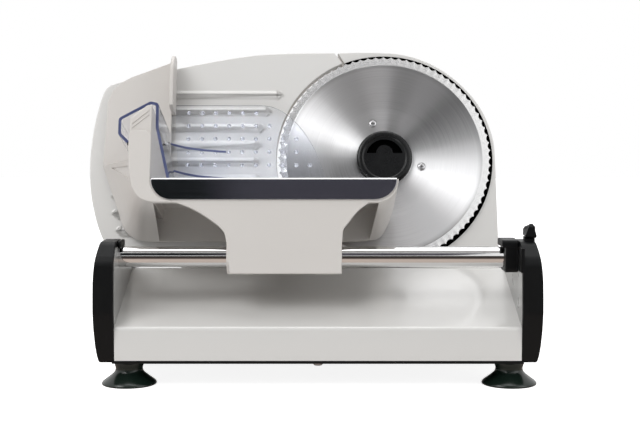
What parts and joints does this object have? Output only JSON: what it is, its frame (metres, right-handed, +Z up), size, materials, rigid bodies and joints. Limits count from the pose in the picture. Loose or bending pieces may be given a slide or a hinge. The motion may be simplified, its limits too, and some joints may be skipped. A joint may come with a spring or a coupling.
{
  "type": "meat slicer",
  "caption": "Electric food slicer: leaning round blade, ribbed thickness plate, tilting food carriage on a round rail, clear pusher, suction feet.",
  "frame": {"origin": "under the middle of the whole machine, on the plane its four feet stand on", "axes": "+Z up, -Y towards the user at the front, +X to the right as the user sees it"},
  "size_m": [0.3804, 0.2564, 0.2734],
  "materials": {
    "black_plastic": "satin",
    "brushed_stainless": "brushed",
    "chrome": "polished",
    "clear_plastic": "clear",
    "dark_rubber": "gloss",
    "light_grey_paint": "gloss",
    "warm_grey_plastic": "satin",
    "white_nylon": "matte",
    "zinc_plated_steel": "plain"
  },
  "bodies": {
    "base": {"base_screw_front": "zinc_plated_steel", "base_screw_rear": "zinc_plated_steel", "base_shell": "light_grey_paint", "blade_spindle": "zinc_plated_steel", "bottom_plate": "black_plastic", "chassis_plate": "zinc_plated_steel", "cord_gland": "black_plastic", "end_cap_left": "black_plastic", "end_cap_right": "black_plastic", "foot_front_left": "dark_rubber", "foot_front_right": "dark_rubber", "foot_rear_left": "dark_rubber", "foot_rear_right": "dark_rubber", "foot_screw_front_left": "zinc_plated_steel", "foot_screw_front_right": "zinc_plated_steel", "foot_screw_rear_left": "zinc_plated_steel", "foot_screw_rear_right": "zinc_plated_steel", "guide_block": "light_grey_paint", "guide_rod_left": "chrome", "guide_rod_right": "chrome", "housing_front": "light_grey_paint", "lever_pin": "zinc_plated_steel", "motor_can": "zinc_plated_steel", "motor_housing": "light_grey_paint", "motor_mount": "zinc_plated_steel", "motor_post_1": "zinc_plated_steel", "motor_post_2": "zinc_plated_steel", "motor_post_3": "zinc_plated_steel", "rail_socket_left": "black_plastic", "rail_socket_right": "black_plastic", "rail_tube": "chrome", "switch_bezel": "black_plastic", "vent_grille": "black_plastic"},
    "blade": {"blade": "brushed_stainless", "blade_gear": "white_nylon", "blade_screw_1": "zinc_plated_steel", "blade_screw_2": "zinc_plated_steel", "blade_screw_3": "zinc_plated_steel"},
    "lock_knob": {"lock_knob": "black_plastic"},
    "idler": {"idler_gear": "white_nylon"},
    "motor_rotor": {"motor_pinion": "zinc_plated_steel"},
    "slider": {"carriage_bush_left": "white_nylon", "carriage_bush_right": "white_nylon"},
    "carriage": {"carriage": "warm_grey_plastic", "food_tray": "chrome", "carriage_shoe": "white_nylon"},
    "pusher": {"pusher": "clear_plastic"},
    "thickness_plate": {"thickness_plate": "light_grey_paint"},
    "dial": {"thickness_dial": "black_plastic"},
    "switch": {"switch_rocker": "black_plastic"},
    "lever": {"rail_lock_lever": "black_plastic"}
  },
  "joints": [
    {"name": "blade_spin", "type": "hinge", "parent": "base", "child": "blade", "pos_m": [0.073, 0.02219, 0.178], "axis": [0, -0.9578, 0.2874], "continuous": true},
    {"name": "lock_knob_turn", "type": "hinge", "parent": "blade", "child": "lock_knob", "pos_m": [0.073, 0.02219, 0.178], "axis": [0, -0.9578, 0.2874], "range_deg": [0, 90]},
    {"name": "idler_spin", "type": "hinge", "parent": "base", "child": "idler", "pos_m": [0.11998, 0.04626, 0.18863], "axis": [0, -0.9578, 0.2874], "continuous": true},
    {"name": "motor_spin", "type": "hinge", "parent": "base", "child": "motor_rotor", "pos_m": [0.11438, 0.04671, 0.15534], "axis": [0, -0.9578, 0.2874], "continuous": true},
    {"name": "rail_slide", "type": "slide", "parent": "base", "child": "slider", "axis": [1, 0, 0], "range_m": [-0.08, 0.12]},
    {"name": "carriage_tilt", "type": "hinge", "parent": "slider", "child": "carriage", "pos_m": [0.0138, -0.09381, 0.101], "axis": [1, 0, 0], "range_deg": [0, 60]},
    {"name": "pusher_slide", "type": "slide", "parent": "carriage", "child": "pusher", "axis": [0, -0.9578, 0.2874], "range_m": [0, 0.06]},
    {"name": "plate_slide", "type": "slide", "parent": "base", "child": "thickness_plate", "axis": [0, 0.9578, -0.2874], "range_m": [0, 0.015]},
    {"name": "dial_turn", "type": "hinge", "parent": "base", "child": "dial", "pos_m": [-0.081, 0.0946, 0.15836], "axis": [0, 0.9578, -0.2874], "range_deg": [0, 301]},
    {"name": "switch_rock", "type": "hinge", "parent": "base", "child": "switch", "pos_m": [0.121, 0.11479, 0.184], "axis": [1, 0, 0], "range_deg": [-16, 0]},
    {"name": "lever_turn", "type": "hinge", "parent": "base", "child": "lever", "pos_m": [0.1826, -0.09981, 0.1218], "axis": [1, 0, 0], "range_deg": [-40, 0]}
  ],
  "couplings": [
    {"joint": "idler_spin", "follows": "blade_spin", "ratio": -4},
    {"joint": "motor_spin", "follows": "blade_spin", "ratio": 15.111},
    {"joint": "dial_turn", "follows": "plate_slide", "rad_per_m": 349.07}
  ]
}
